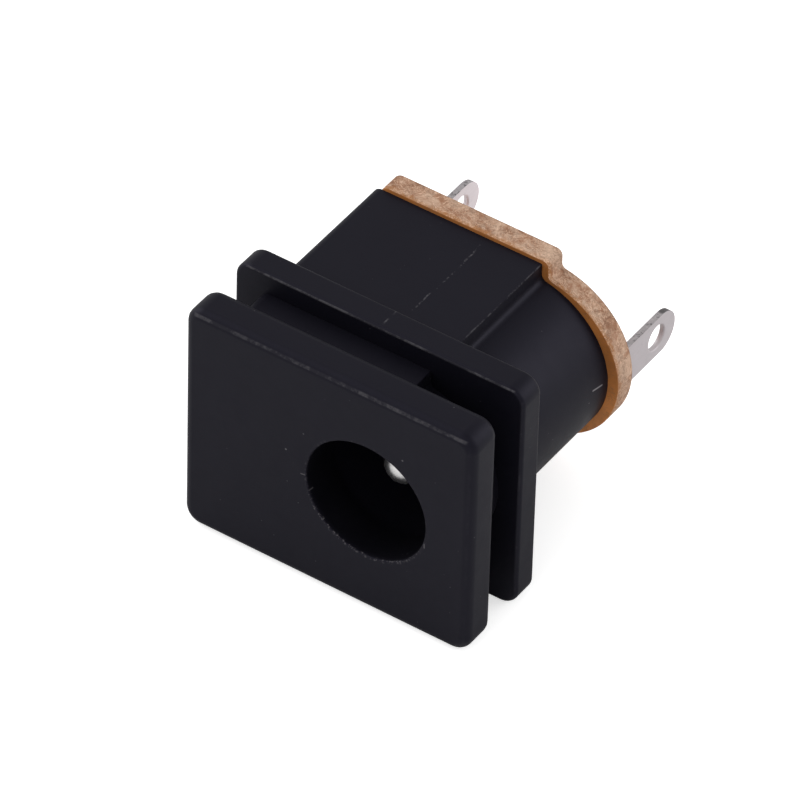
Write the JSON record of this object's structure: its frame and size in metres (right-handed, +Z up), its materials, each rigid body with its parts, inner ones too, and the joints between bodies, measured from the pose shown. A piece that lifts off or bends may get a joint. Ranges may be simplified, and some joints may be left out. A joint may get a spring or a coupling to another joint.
{
  "type": "dc barrel jack",
  "caption": "Panel-slot power socket with a grooved moulded housing, a centre pin, a laminate back plate and solder lugs.",
  "frame": {"origin": "plug axis at the front face", "axes": "+Y into the jack along the plug axis, +Z up, +X to the right seen from the front"},
  "size_m": [0.0152, 0.0192, 0.0126],
  "materials": {
    "black_moulding": "satin black moulded plastic",
    "brown_laminate": "paper laminate with a rough punched edge",
    "bright_pin": "bright nickel plate on turned brass",
    "tinned_lug": "tin plate on stamped brass sheet"
  },
  "bodies": {
    "root": {"housing": "black_moulding", "back_plate": "brown_laminate", "centre_pin": "bright_pin", "pin_terminal": "tinned_lug", "sleeve_spring": "tinned_lug", "switch_contact": "tinned_lug"}
  },
  "joints": []
}
